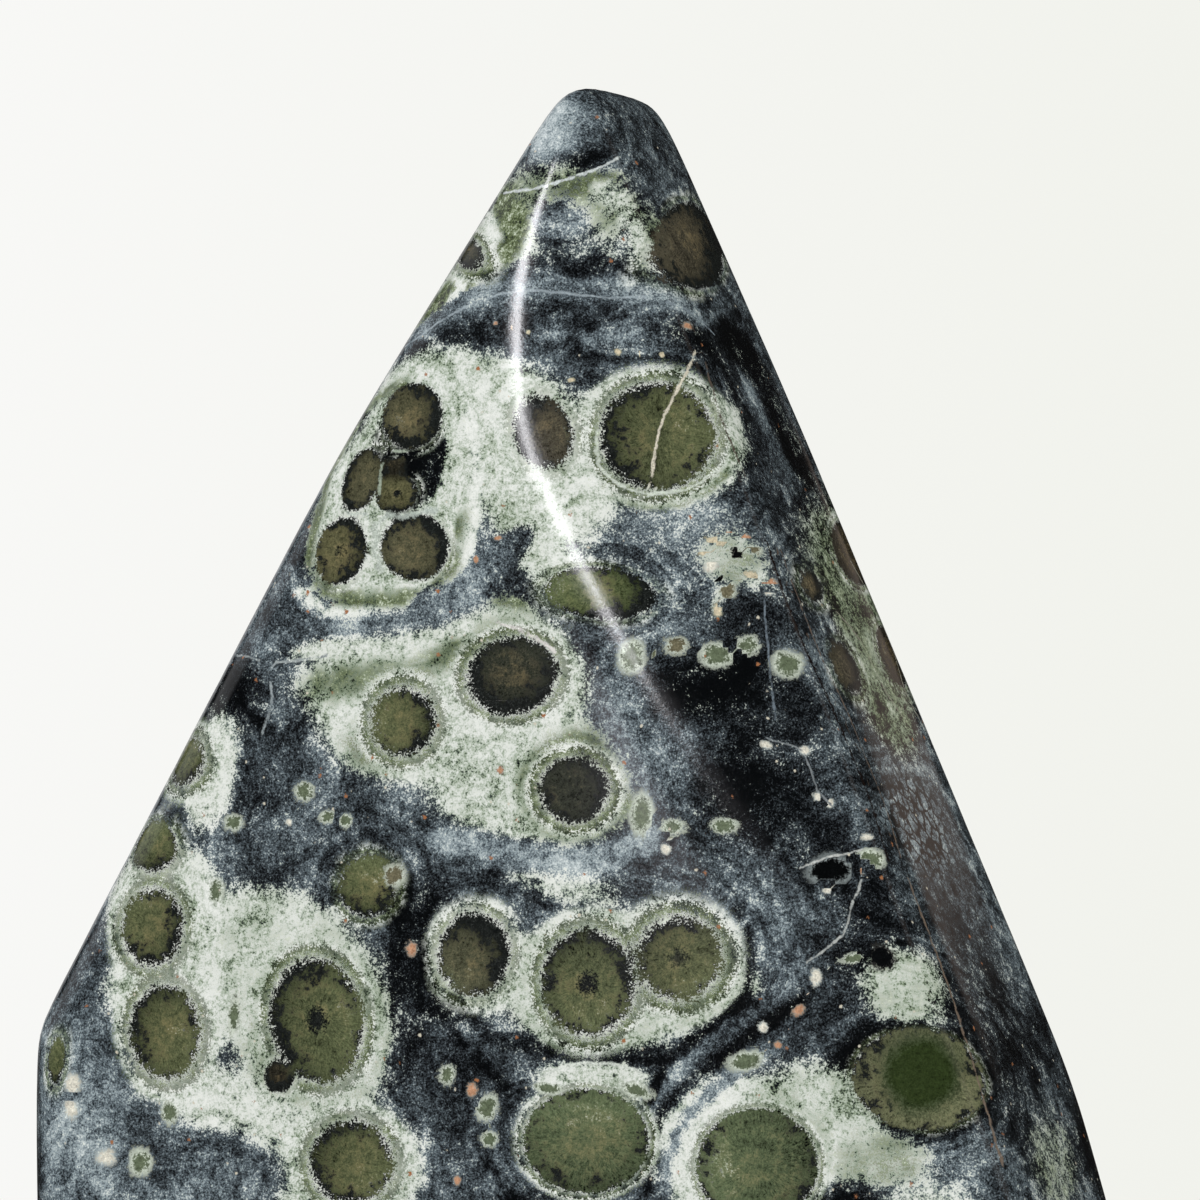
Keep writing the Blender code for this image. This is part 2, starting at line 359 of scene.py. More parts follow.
# Flow bands, as points along each, with the half width in pixels. They lie over the washes, in this order.
Band = namedtuple("Band", "points half_width soft mint haze moss web", defaults=(0.0, 0.0))
BANDS = [Band(*row) for row in (
    (((413, 325), (440, 300), (468, 280), (500, 256), (514, 228), (504, 202)), 15, 0.5, 0.8, 0.42, 1.0),
    (((448, 262), (462, 285), (452, 300)), 7, 0.5, 0.9, 0.8),
    (((488, 216), (494, 236), (486, 262)), 7, 0.5, 0.9, 0.8),
    (((375, 384), (405, 348), (440, 322), (480, 306), (505, 303)), 13, 0.4, 0.0, 0.36),
    (
        ((445, 318), (480, 292), (515, 272), (560, 266), (620, 272), (680, 285), (705, 300)),
        10, 0.4, 0.0, 0.18,
    ),
    (
        ((412, 338), (450, 312), (490, 292), (530, 284), (600, 290), (665, 296), (700, 318)),
        11, 0.6, 0.0, 0.55,
    ),
    (((585, 335), (630, 350), (680, 360), (715, 372)), 20, 0.5, 0.0, 0.30),
    (((555, 335), (590, 338), (640, 336)), 6, 0.6, 0.0, 0.50),
    (((735, 345), (760, 375), (780, 420), (800, 460)), 30, 0.4, 0.0, 0.0),
    (((600, 190), (625, 205), (640, 240), (655, 262)), 10, 0.6, 0.7, 0.5),
    (((462, 520), (458, 555), (440, 586), (400, 600), (350, 599), (318, 582)), 8, 0.5, 0.9, 0.45, 0.8),
    (((318, 582), (310, 550), (325, 490), (350, 430), (375, 400), (405, 382)), 7, 0.5, 0.9, 0.5, 0.7),
    (
        ((470, 410), (476, 460), (472, 520), (462, 575), (430, 608), (380, 618), (330, 612), (300, 590)),
        6, 0.6, 0.9, 0.85,
    ),
    (((420, 605), (455, 590), (490, 560), (520, 540)), 12, 0.4, 0.0, 0.42),
    (((600, 430), (598, 460), (612, 484), (645, 500), (690, 496), (722, 474)), 6, 0.5, 0.9, 0.5, 0.9),
    (((245, 640), (300, 632), (360, 625), (430, 618), (470, 600)), 10, 0.5, 0.0, 0.45),
    (((300, 655), (350, 648), (420, 640), (470, 628)), 6, 0.6, 0.8, 0.6),
    (((440, 840), (520, 855), (590, 862), (650, 840)), 14, 0.5, 0.0, 0.66),
    (((450, 1000), (500, 1040), (560, 1052), (640, 1058), (700, 1044), (750, 1005)), 8, 0.5, 0.0, 0.10),
    (((632, 1180), (640, 1120), (662, 1080), (700, 1050), (745, 1016), (790, 985)), 6, 0.6, 0.0, 0.50),
    (((648, 1190), (655, 1135), (675, 1096), (712, 1065), (756, 1032), (800, 1002)), 6, 0.6, 0.0, 0.04),
    (((664, 1190), (672, 1150), (692, 1112), (728, 1080), (768, 1050), (800, 1030)), 6, 0.6, 0.0, 0.48),
    (((395, 1080), (410, 1020), (415, 960), (400, 910)), 12, 0.5, 0.0, 0.12),
    (((735, 905), (752, 950), (742, 995), (705, 1030), (668, 1062), (650, 1100)), 5, 0.5, 0.0, 0.04),
    (((430, 900), (424, 950), (436, 1000), (466, 1048), (505, 1085)), 5, 0.5, 0.0, 0.04),
    (((392, 450), (412, 455), (440, 448)), 6, 0.5, 0.0, 0.06),
)]


class StoneSettings(bpy.types.PropertyGroup):
    grid: FloatProperty(
        name="Mesh spacing",
        description="Distance between the finished surface's points",
        default=0.00068,
        unit="LENGTH",
    )
    softness: FloatProperty(
        name="Ridge softness", description="How far the worn ridges blend", default=0.00018, unit="LENGTH"
    )
    seed: IntProperty(
        name="Hidden side", description="Seed of the orbs that the photograph doesn't show", default=7
    )
    slate: StringProperty(name="Slate", description="Dark rock, as a hex colour", default="#5F6A72")
    pale: StringProperty(name="Pale", description="Pale rock, as a hex colour", default="#DCE0DC")
    green: StringProperty(name="Green", description="Green rings, as a hex colour", default="#626E4D")
    rust: StringProperty(name="Rust", description="Brown in the cores, as a hex colour", default="#6E5F42")
    iron: StringProperty(name="Iron", description="Iron-stained specks, as a hex colour", default="#A06C4A")


class StageSettings(bpy.types.PropertyGroup):
    key: FloatProperty(name="Key light", description="Strength of the small soft key light", default=0.5)
    key_turn: FloatProperty(
        name="Key turn",
        description="Key light's angle right of the camera, less than zero for left",
        default=radians(-31),
        subtype="ANGLE",
    )
    key_height: FloatProperty(
        name="Key height",
        description="Key light's angle above the floor",
        default=radians(15),
        subtype="ANGLE",
    )
    key_size: FloatProperty(
        name="Key size", description="Angle that the key light covers", default=radians(10), subtype="ANGLE"
    )
    surround: FloatProperty(name="Surround", description="Brightness of the pale surroundings", default=1.0)
    floor_colour: StringProperty(name="Floor", description="Floor, as a hex colour", default="#EDEDEA")


def linear(hex_colour):
    """An sRGB hex colour as a linear RGBA value."""
    levels = [int(hex_colour[i : i + 2], 16) / 255 for i in (1, 3, 5)]
    return tuple(v / 12.92 if v <= 0.04045 else ((v + 0.055) / 1.055) ** 2.4 for v in levels) + (1.0,)


def add(tree, kind, sockets=None, out=0, stops=(), **settings):
    """Add a shader node, set its options and colour stops, and set or link its sockets.

    Returns the output that out gives by number or name, or None from a node that has none.
    """
    node = tree.nodes.new("ShaderNode" + kind)
    for name, value in settings.items():
        setattr(node, name, value)
    for number, (place, colour) in enumerate(stops):
        elements = node.color_ramp.elements
        element = elements[number] if number < len(elements) else elements.new(place)
        element.position = place
        element.color = linear(colour)
    for name, value in (sockets or {}).items():
        if isinstance(value, bpy.types.NodeSocket):
            tree.links.new(value, node.inputs[name])
        else:
            node.inputs[name].default_value = value
    return node.outputs[out] if node.outputs else None


def blank_tree(owner):
    """The node tree of a material or a world, with nothing in it yet."""
    owner.use_nodes = True
    owner.node_tree.nodes.clear()
    return owner.node_tree


# The surface


def ground_planes(mesh):
    """The facets of the ground stone, as outward normals and distances in millimetres."""
    mesh.calc_loop_triangles()
    planes = {}
    for triangle in mesh.loop_triangles:
        normal = triangle.normal
        distance = normal.dot(Vector(triangle.center)) / MM
        key = tuple(round(v, 2) for v in (*normal, distance / 10))
        planes.setdefault(key, (tuple(normal), distance, triangle.area))
    return np.array([p[0] for p in planes.values()]), np.array([p[1] for p in planes.values()])


def polish(points, normals, distances, softness):
    """Move points onto the stone's surface, its ridges blended over each point's softness."""
    for _ in range(POLISH_ROUNDS):
        beyond = (points @ normals.T - distances) / softness[:, None] - WEAR
        highest = beyond.max(1)
        share = np.exp(beyond - highest[:, None])
        total = share.sum(1)
        level = softness * (highest + np.log(total))
        slope = share @ normals / total[:, None]
        points = points - slope * (level / (slope**2).sum(1))[:, None]
    return points, slope / np.linalg.norm(slope, axis=1)[:, None]


def fine_mesh(source, spacing):
    """An even, fine skin over a closed mesh."""
    blank = bpy.data.objects.new("blank", source.data.copy())
    bpy.context.scene.collection.objects.link(blank)
    remesh = blank.modifiers.new("skin", "REMESH")
    remesh.mode = "VOXEL"
    remesh.voxel_size = spacing
    evaluated = blank.evaluated_get(bpy.context.evaluated_depsgraph_get())
    mesh = bpy.data.meshes.new_from_object(evaluated)
    bpy.data.objects.remove(blank)
    return mesh


def refine(mesh, near):
    """Halve the mesh spacing where the marks are smallest."""
    shape = bmesh.new()
    shape.from_mesh(mesh)
    shape.faces.ensure_lookup_table()
    close = [face for face in shape.faces if any(near[vert.index] for vert in face.verts)]
    edges = list({edge for face in close for edge in face.edges})
    bmesh.ops.subdivide_edges(shape, edges=edges, cuts=1, use_grid_fill=True)
    bmesh.ops.triangulate(shape, faces=[face for face in shape.faces if len(face.verts) > 4])
    shape.to_mesh(mesh)
    shape.free()


def polish_mesh(mesh, ground, softness):
    """Polish every point of a mesh. Returns the points in millimetres and the surface's direction at each."""
    points = np.empty(len(mesh.vertices) * 3, np.float32)
    mesh.vertices.foreach_get("co", points)
    points = points.reshape(-1, 3).astype(float) / MM
    planes, distances = ground_planes(ground)
    distances = distances + TIP_DOME_MM * smooth(planes[:, 2], 0.6, 1.0)
    blend = softness / MM * (1 + TIP_SOFTNESS * smooth(points[:, 2], *TIP_HEIGHTS_MM))
    points, normals = polish(points, planes, distances, blend)
    mesh.vertices.foreach_set("co", (points * MM).astype(np.float32).ravel())
    mesh.update()
    mesh.shade_smooth()
    return points, normals


# Places on the stone


class Place:
    """A spot on the stone, with the two edge vectors of a mark that lies on it."""

    def __init__(self, centre, normal, across, down):
        self.centre = centre
        self.frame = np.linalg.inv(np.array([across, down, normal]).T)
        self.radius = sqrt(np.linalg.norm(np.cross(across, down)))

    def local(self, points):
        """Coordinates in which the mark's edge is the unit circle, and the height above its plane in mm."""
        offset = (points - self.centre) @ self.frame.T
        return offset[:, 0], offset[:, 1], offset[:, 2]

    def reach(self, points):
        """0 at the mark's middle, 1 at its edge."""
        x, y, height = self.local(points)
        return np.sqrt(x**2 + y**2 + (height / (MARK_DEPTH * self.radius)) ** 2)


def sight_line(x, y):
    """The direction from the eye through a pixel of the photograph."""
    return Vector(((x - FRAME_MIDDLE) * PIXEL_MM, -EYE_MM.y, (FRAME_MIDDLE - y) * PIXEL_MM))


def place_in_photo(tree, mark):
    """The place on the stone that lies behind a mark in the photograph."""
    hit, normal, _, _ = tree.ray_cast(EYE_MM, sight_line(mark.x, mark.y).normalized())
    if hit is None:
        raise ValueError(f"no stone behind pixel {mark.x}, {mark.y}")
    edges = []
    for angle, length in ((radians(mark.turn), mark.wide), (radians(mark.turn + 90), mark.tall)):
        line = sight_line(mark.x + cos(angle) * length, mark.y + sin(angle) * length)
        edges.append(np.array(EYE_MM + line * ((hit - EYE_MM).dot(normal) / line.dot(normal)) - hit))
    return Place(np.array(hit), np.array(normal), *edges)


def trace_in_photo(tree, points):
    """The line on the stone that lies behind a line in the photograph, every few pixels, in millimetres."""
    spots = [np.array(p, float) for p in points]
    ends = [2 * spots[0] - spots[1], *spots, 2 * spots[-1] - spots[-2]]
    line = []
    for before, start, stop, after in zip(ends, ends[1:], ends[2:], ends[3:]):
        steps = max(2, int(np.linalg.norm(stop - start) / TRACE_STEP))
        for t in np.arange(steps) / steps:
            square = (2 * before - 5 * start + 4 * stop - after) * t**2
            cube = (3 * start - before - 3 * stop + after) * t**3
            x, y = start + 0.5 * ((stop - before) * t + (square + cube))
            line.append(tree.ray_cast(EYE_MM, sight_line(x, y).normalized())[0])
    line.append(tree.ray_cast(EYE_MM, sight_line(*points[-1]).normalized())[0])
    return np.array([p for p in line if p is not None])


def lie_on(points, normals, middle, radius, turn, stretch):
    """A round place on the stone, turned and stretched along its surface."""
    normal = normals[np.argmin(((points - middle) ** 2).sum(1))]
    side = np.cross(normal, [0.02, 0.01, 1.0])
    side /= np.linalg.norm(side)
    down = np.cross(normal, side)
    across = (side * cos(turn) + down * sin(turn)) * radius * stretch
    along = (down * cos(turn) - side * sin(turn)) * radius / stretch
    return Place(middle, normal, across, along)


def hidden_marks(points, normals, placed, seed):
    """Orbs, beads and washes for the sides that the photograph doesn't show, clear of the placed orbs."""
    rng = np.random.default_rng(seed)
    view = points - np.array(EYE_MM)
    rows = FRAME_MIDDLE - (points[:, 2] - EYE_MM.z) / PIXEL_MM * -EYE_MM.y / view[:, 1]
    seen = (np.einsum("ij,ij->i", view, normals) < 0) & (rows < SEEN_ROWS)
    free = np.flatnonzero(~seen)
    taken = [(place.centre, place.radius) for place in placed]
    orbs = []
    beads = []
    washes = []
    for number in range(HIDDEN_TRIES):
        middle = points[free[rng.integers(len(free))]]
        big = number < HIDDEN_ORB_TRIES
        radius = rng.uniform(*(HIDDEN_ORB_RADII_MM if big else HIDDEN_BEAD_RADII_MM))
        spacing = HIDDEN_ORB_SPACING if big else HIDDEN_BEAD_SPACING
        if any(np.linalg.norm(middle - c) < (r + radius) * spacing for c, r in taken):
            continue
        if seen[np.linalg.norm(points - middle, axis=1) < radius + HIDDEN_MARGIN_MM].any():
            continue
        # The narrow facets of the tip are meshed too coarsely for beads
        if not big and middle[2] > TIP_HEIGHTS_MM[0]:
            continue
        taken.append((middle, radius))
        place = lie_on(points, normals, middle, radius, rng.uniform(0, pi), rng.uniform(0.85, 1.2))
        if big:
            name = HIDDEN_ORB_KINDS[rng.integers(len(HIDDEN_ORB_KINDS))]
            orbs.append((place, KINDS[name], rng.uniform(0, 2 * pi)))
            if rng.random() < 0.8:
                reach = radius * rng.uniform(1.4, 2.0)
                wide = lie_on(points, normals, middle, reach, rng.uniform(0, pi), 1.2)
                washes.append((wide, 0.2, (rng.uniform(0.7, 1.0), 0.65, 0.0, 0.0)))
        else:
            # The larger beads are all green
            name = HIDDEN_BEAD_KINDS[rng.integers(3 if radius > 0.4 else 6)]
            beads.append((place, BEAD_KINDS[name]))
    # Dark and light clouds, which lie under the pale washes
    for _ in range(HIDDEN_CLOUDS):
        middle = points[free[rng.integers(len(free))]]
        radius, turn, stretch = rng.uniform(3, 7), rng.uniform(-0.5, 0.5), rng.uniform(1.0, 1.7)
        place = lie_on(points, normals, middle, radius, turn, stretch)
        washes.insert(0, (place, 0.4, (0.0, rng.choice([0.0, 0.1, 0.5, 0.6]), 0.0, 0.0)))
    return orbs, beads, washes


# The fields that the material reads


def smooth(value, low, high):
    """0 below low, 1 above high, with an eased step between."""
    t = np.clip((value - low) / (high - low), 0, 1)
    return t * t * (3 - 2 * t)


def paint_ground(points, washes, bands):
    """The rock under the orbs: how pale, how light, how green and how cracked it is at each point."""
    ground = np.tile(BARE_ROCK, (len(points), 1))
    for place, soft, look in washes:
        cover = 1 - smooth(place.reach(points), 1 - soft, 1 + soft)
        ground += (np.array(look) - ground) * cover[:, None]
    for line, half_width, soft, look in bands:
        away = np.linalg.norm(offset_from_line(points, line, 3 * half_width), axis=1)
        cover = 1 - smooth(away / half_width, 1 - soft, 1 + soft)
        ground += (np.array(look) - ground) * cover[:, None]
    return ground.T


def offset_from_line(points, line, limit):
    """The vector from a line's nearest spot to each point near it. Points further off get a long one."""
    offset = np.full(points.shape, 2.0 * limit)
    near = np.flatnonzero(((points > line.min(0) - limit) & (points < line.max(0) + limit)).all(1))
    best = np.full(len(near), np.inf)
    for start, stop in zip(line[:-1], line[1:]):
        run = stop - start
        share = np.clip((points[near] - start) @ run / max(run @ run, 1e-9), 0, 1)
        away = points[near] - start - share[:, None] * run
        length = np.linalg.norm(away, axis=1)
        closer = length < best
        best[closer] = length[closer]
        offset[near[closer]] = away[closer]
    return offset


class Nearest:
    """Keeps, for each point, the vector from the nearest mark's middle and that mark's look.

    A vector changes evenly over a triangle, so marks much smaller than one still come out whole. Where two
    marks are about as near, the vector is lifted off the surface, so that none shows between them.
    """

    def __init__(self, count, looks):
        self.away = np.full(count, AWAY)
        self.second = np.full(count, AWAY)
        self.spot = np.full((count, 3), AWAY)
        self.looks = [np.zeros((count, width)) for width in looks]

    def offer(self, away, spot, looks):
        nearer = away < self.away
        self.second = np.where(nearer, self.away, np.minimum(self.second, away))
        self.away[nearer] = away[nearer]
        self.spot[nearer] = spot[nearer]
        for kept, look in zip(self.looks, looks):
            kept[nearer] = look

    def lifted(self, up):
        between = (self.second - self.away < MARK_GAP_MM) | (self.away > MARK_REACH_MM)
        return self.spot + np.where(between[:, None], AWAY, 0.0) * up


def lay_beads(points, beads):
    """Where each point lies in its nearest bead, as a vector, and that bead's colours, edge and roughness."""
    nearest = Nearest(len(points), (3, 3, 1, 1))
    for place, kind in beads:
        uneven = min(1.0, 0.5 / place.radius)
        x, y, height = place.local(points)
        spot = np.stack([x, y, height / (MARK_DEPTH * place.radius)], 1)
        away = (np.linalg.norm(spot, axis=1) - 1) * place.radius
        nearest.offer(away, spot, (linear(kind.core)[:3], linear(kind.ring)[:3], kind.edge, uneven))
    return nearest.lifted(np.array([0.0, 0.0, 1.0])), *nearest.looks


def lay_veins_and_reflections(points, normals, veins_and_reflections):
    """Where each point lies in its nearest line, as a vector, and that line's colour and brokenness. The
    lines are veins, cracks and the painted reflections along the right ridge.
    """
    nearest = Nearest(len(points), (3, 1))
    for line, half_width, colour, gaps in veins_and_reflections:
        offset = offset_from_line(points, line, 3.0)
        nearest.offer(np.linalg.norm(offset, axis=1), offset / half_width, (linear(colour)[:3], gaps))
    return nearest.lifted(normals), *nearest.looks


def lay_orbs(points, orbs):
    """Fields of the orb that is nearest to each point, blended where two orbs meet."""
    count = len(points)
    total = {name: np.zeros(count) for name in ORB_FIELDS}
    tint = np.zeros((count, 3))
    radial = np.zeros((count, 3))
    weight_sum = np.zeros(count)
    closest = np.full(count, 60.0)
    parts = []
    for place, kind, thick in orbs:
        x, y, _ = place.local(points)
        reach = place.reach(points)
        gap = (reach - 1) * place.radius / kind.ring_mm
        closest = np.minimum(closest, gap)
        parts.append((kind, thick, x, y, reach, gap))
    for kind, thick, x, y, reach, gap in parts:
        weight = np.where(gap < closest + 3.0, np.exp((closest - gap) / SEAM_RINGS), 0)
        toward = np.cos(np.arctan2(y, x) - thick)
        facing = 0.5 + 0.5 * toward
        rim = kind.rim * (1 - kind.bare * (1 - facing))
        lean = toward * np.minimum(reach, 1) * kind.bare
        values = (np.minimum(gap, 8), np.minimum(reach, 3), rim, kind.halo, kind.leaf, kind.nucleus, lean)
        for name, value in zip(ORB_FIELDS, values):
            total[name] += weight * value
        tint += weight[:, None] * np.array(linear(kind.core)[:3])
        spoke = np.stack([x, y], 1) / (np.hypot(x, y) + 1e-6)[:, None]
        radial[:, :2] += weight[:, None] * spoke
        weight_sum += weight
    for name in ORB_FIELDS:
        total[name] /= weight_sum
    spread = np.stack([np.minimum(gap * kind.ring_mm, 20) for kind, _, _, _, _, gap in parts])
    total["flow"] = -FLOW_BLEND_MM * np.log(np.exp(-spread / FLOW_BLEND_MM).sum(0))
    return total, tint / weight_sum[:, None], radial / weight_sum[:, None]


def store(mesh, name, values, kind):
    """Keep one field on the mesh, a value for each point."""
    attribute = mesh.attributes.new(name, kind, "POINT")
    field = {"FLOAT": "value", "FLOAT_VECTOR": "vector", "FLOAT_COLOR": "color"}[kind]
    if kind == "FLOAT_COLOR":
        values = np.hstack([values, np.ones((len(values), 1))])
    attribute.data.foreach_set(field, np.ascontiguousarray(values, dtype=np.float32).ravel())


# The material

GROUND_FIELDS = ("mint", "haze", "moss", "web")
ORB_FIELDS = ("gap", "reach", "rim", "halo", "leaf", "nucleus", "lean")
FIELDS = (*ORB_FIELDS, *GROUND_FIELDS, "flow", "bead_edge", "bead_uneven", "vein_and_reflection_broken")
COLOUR_FIELDS = ("tint", "bead_core", "bead_ring", "vein_and_reflection_tint")
VECTOR_FIELDS = ("radial", "bead_spot", "vein_and_reflection_spot")


def jasper_material(settings):
    """Kambaba jasper, a quartz-rich volcanic rock, sawn, lapped and polished.

    The polish gives a glassy, even gloss over every colour. The pale, granular rock takes it a little less
    well. The index of refraction is quartz's.
    """
    material = bpy.data.materials.new("polished_kambaba_jasper")
    tree = blank_tree(material)
    place = add(tree, "TexCoord", out="Object")
    mm = add(tree, "VectorMath", {0: place, "Scale": 1 / MM}, operation="SCALE")

    # Grains, mottling and cloudiness, by size in millimetres. Real grains are 0.05 mm and too fine to show,
    # so they are drawn at 0.13 mm.
    noise = {}
    for name, size, detail, rough in (
        ("grain", 0.13, 1.0, 0.8),
        ("speck", 0.34, 3.0, 0.65),
        ("mottle", 1.10, 4.0, 0.6),
        ("patch", 2.60, 2.0, 0.5),
        ("cloud", 5.00, 3.0, 0.5),
    ):
        fac = add(tree, "TexNoise", {"Vector": mm, "Scale": 1 / size, "Detail": detail, "Roughness": rough})
        noise[name] = add(tree, "Math", {0: fac, 1: 0.5}, operation="SUBTRACT")
    field = {name: add(tree, "Attribute", out="Fac", attribute_name=name) for name in FIELDS}
    colour = {name: add(tree, "Attribute", out="Color", attribute_name=name) for name in COLOUR_FIELDS}
    vector = {name: add(tree, "Attribute", out="Vector", attribute_name=name) for name in VECTOR_FIELDS}

    def mottled(value, **amounts):
        """A value made uneven by some of each noise."""
        for name, amount in amounts.items():
            value = add(tree, "Math", {0: noise[name], 1: amount, 2: value}, operation="MULTIPLY_ADD")
        return value

    def lay(under, top, value, low, high, share=1.0):
        """A colour laid over another: none of it at the low value, and its full share at the high one."""
        mask = add(tree, "MapRange", {"Value": value, "From Min": low, "From Max": high})
        mask = add(tree, "Math", {0: mask, 1: share}, operation="MULTIPLY")
        return add(tree, "Mix", {0: mask, 6: under, 7: top}, out=2, data_type="RGBA")

    # Streaks follow the lines of equal distance from the orbs
    along = add(tree, "CombineXYZ", {"X": mottled(field["flow"], cloud=3.0, mottle=0.8)})
    drift = add(tree, "VectorMath", {0: mm, "Scale": 0.10}, operation="SCALE")
    streak_place = add(tree, "VectorMath", {0: along, 1: drift})
    streak = add(tree, "TexNoise", {"Vector": streak_place, "Scale": 1.6, "Detail": 3.0, "Roughness": 0.6})
    noise["streak"] = add(tree, "Math", {0: streak, 1: 0.5}, operation="SUBTRACT")

    # Fine fibres that grew outwards from each orb's middle, about 0.1 mm apart
    spokes = add(tree, "VectorMath", {0: vector["radial"], "Scale": 26.0}, operation="SCALE")
    outward = add(tree, "VectorMath", {0: mm, "Scale": 2.0}, operation="SCALE")
    fibre_place = add(tree, "VectorMath", {0: spokes, 1: outward})
    fibre = add(tree, "TexNoise", {"Vector": fibre_place, "Scale": 1.0, "Detail": 2.0, "Roughness": 0.7})
    noise["fibre"] = add(tree, "Math", {0: fibre, 1: 0.5}, operation="SUBTRACT")

    # Slate-grey, pale and green rock, each from its darkest grains to its lightest
    slate = add(
        tree,
        "ValToRGB",
        {"Fac": mottled(field["haze"], cloud=0.8, patch=0.5, mottle=0.6, speck=0.6, grain=0.95, streak=0.8)},
        stops=(
            (0.0, "#07090B"), (0.14, "#15181B"), (0.32, "#33393E"), (0.5, settings.slate), (0.68, "#94A1A8"),
            (1.0, "#D2DBDF"),
        ),
    )
    pale_stops = (
        (0.0, "#20251D"), (0.2, "#4C5A43"), (0.36, "#7F8F77"), (0.52, "#B3BEB0"), (0.72, settings.pale),
        (1.0, "#F0F2F0"),
    )
    pale_noise = {"cloud": 0.4, "patch": 0.5, "mottle": 0.8, "speck": 1.0, "grain": 0.75, "streak": 0.7}
    lightness = add(tree, "Math", {0: field["haze"], 1: 0.62, 2: 0.24}, operation="MULTIPLY_ADD")
    mint = add(tree, "ValToRGB", {"Fac": mottled(lightness, **pale_noise)}, stops=pale_stops)
    halo = add(tree, "ValToRGB", {"Fac": mottled(0.60, **pale_noise)}, stops=pale_stops)
    green = add(
        tree,
        "ValToRGB",
        {"Fac": mottled(0.46, patch=0.6, mottle=1.3, speck=1.5, grain=1.1)},
        stops=(
            (0.0, "#171A14"),
            (0.3, "#3D4631"),
            (0.55, settings.green),
            (0.8, "#98A489"),
            (1.0, "#D3DACD"),
        ),
    )

    # Pale rock over the slate, with stippled edges and patches of green in it
    mossy = lay(mint, green, mottled(field["moss"], mottle=1.4, speck=1.2, grain=1.2), 0.30, 0.70)
    paleness = mottled(field["mint"], cloud=0.5, patch=0.5, mottle=1.2, speck=1.0, grain=1.5, streak=0.8)
    paint = lay(slate, mossy, paleness, 0.34, 0.64)

    # A net of fine dark cracks, about a millimetre apart
    warp = add(tree, "TexNoise", {"Vector": mm, "Scale": 1.1, "Detail": 2.0}, out="Color")
    warped = add(tree, "VectorMath", {0: mm, 1: warp})
    crack = add(tree, "TexVoronoi", {"Vector": warped, "Scale": 0.9}, feature="DISTANCE_TO_EDGE")
    crack = mottled(crack, patch=0.2, mottle=0.2, speck=0.2)
    paint = lay(paint, linear("#131110"), crack, 0.15, 0.06, field["web"])

    # Rings around each orb: a wide pale one, a green one and a thin pale one, each broken in places
    gap = mottled(field["gap"], patch=1.1, mottle=1.5, speck=2.0, grain=3.4, fibre=1.0)
    for low, high, ring, strength, breaks in (
        (1.45, 2.5, halo, "halo", 3.0),
        (0.35, 1.50, green, "leaf", 2.0),
        (-0.20, 0.35, halo, "halo", 4.0),
    ):
        amount = add(
            tree,
            "Math",
            {0: mottled(0.0, patch=0.9, mottle=0.6, speck=0.5, grain=0.5), 1: breaks, 2: field[strength]},
            operation="MULTIPLY_ADD",
            use_clamp=True,
        )
        inner = add(tree, "MapRange", {"Value": gap, "From Min": low - 0.2, "From Max": low + 0.2})
        amount = add(tree, "Math", {0: amount, 1: inner}, operation="MULTIPLY")
        paint = lay(paint, ring, gap, high + 0.3, high - 0.3, amount)

    # The core: its own colour with some rust and faint shells, and green where the black rim is thin
    shell_reach = add(tree, "Math", {0: field["reach"], 1: 6.0}, operation="MULTIPLY")
    shell_place = add(tree, "CombineXYZ", {"X": shell_reach, "Y": noise["cloud"]})
    shell = add(tree, "TexNoise", {"Vector": shell_place, "Scale": 1.0, "Detail": 1.0})
    noise["shell"] = add(tree, "Math", {0: shell, 1: 0.5}, operation="SUBTRACT")
    rusty = mottled(0.45, patch=1.2, mottle=1.5, speck=1.3, grain=1.0, shell=0.6)
    core = lay(colour["tint"], linear(settings.rust), rusty, 0.40, 0.90, 0.40)
    light = add(tree, "Math", {0: field["lean"], 1: -0.35, 2: 0.95}, operation="MULTIPLY_ADD")
    light = mottled(light, fibre=1.7, grain=1.5, speck=1.6, mottle=1.3, patch=1.0, shell=0.7)
    core = add(tree, "VectorMath", {0: core, "Scale": light}, operation="SCALE")
    bloom = mottled(0.0, patch=1.5, mottle=1.2, speck=1.0, grain=1.2)
    bloom = add(tree, "Math", {0: bloom, 1: field["lean"]}, operation="SUBTRACT")
    core = lay(core, green, bloom, 0.65, 1.25)

    # The black rim, broken into patches, and the black eye
    dark = add(
        tree,
        "ValToRGB",
        {"Fac": mottled(0.25, speck=0.8, grain=0.7)},
        stops=((0.0, "#07090A"), (0.6, "#2A2E2C"), (1.0, "#6A6F66")),
    )
    reach = mottled(field["reach"], mottle=0.45, speck=0.40, grain=0.40, fibre=0.35)
    past = add(tree, "Math", {0: reach, 1: field["rim"]})
    core = lay(core, dark, mottled(past, patch=0.8, mottle=1.0, speck=0.6), 0.90, 1.12)
    core = lay(core, dark, mottled(field["reach"], speck=0.25, grain=0.35), 0.28, 0.16, field["nucleus"])
    paint = lay(paint, core, gap, 0.30, -0.40)

    # Beads
    length = add(tree, "VectorMath", {0: vector["bead_spot"]}, out=1, operation="LENGTH")
    uneven = mottled(0.0, mottle=1.6, speck=1.9, grain=1.4)
    bead_reach = add(tree, "Math", {0: uneven, 1: field["bead_uneven"], 2: length}, operation="MULTIPLY_ADD")
    bead_past = add(tree, "Math", {0: bead_reach, 1: field["bead_edge"]}, operation="SUBTRACT")
    tone = mottled(0.95, grain=1.2, speck=1.4)
    bead_ring = add(tree, "VectorMath", {0: colour["bead_ring"], "Scale": tone}, operation="SCALE")
    bead_core = add(tree, "VectorMath", {0: colour["bead_core"], "Scale": tone}, operation="SCALE")
    paint = lay(paint, bead_ring, bead_past, 1.22, 0.78)
    paint = lay(paint, bead_core, bead_reach, 1.15, 0.80)
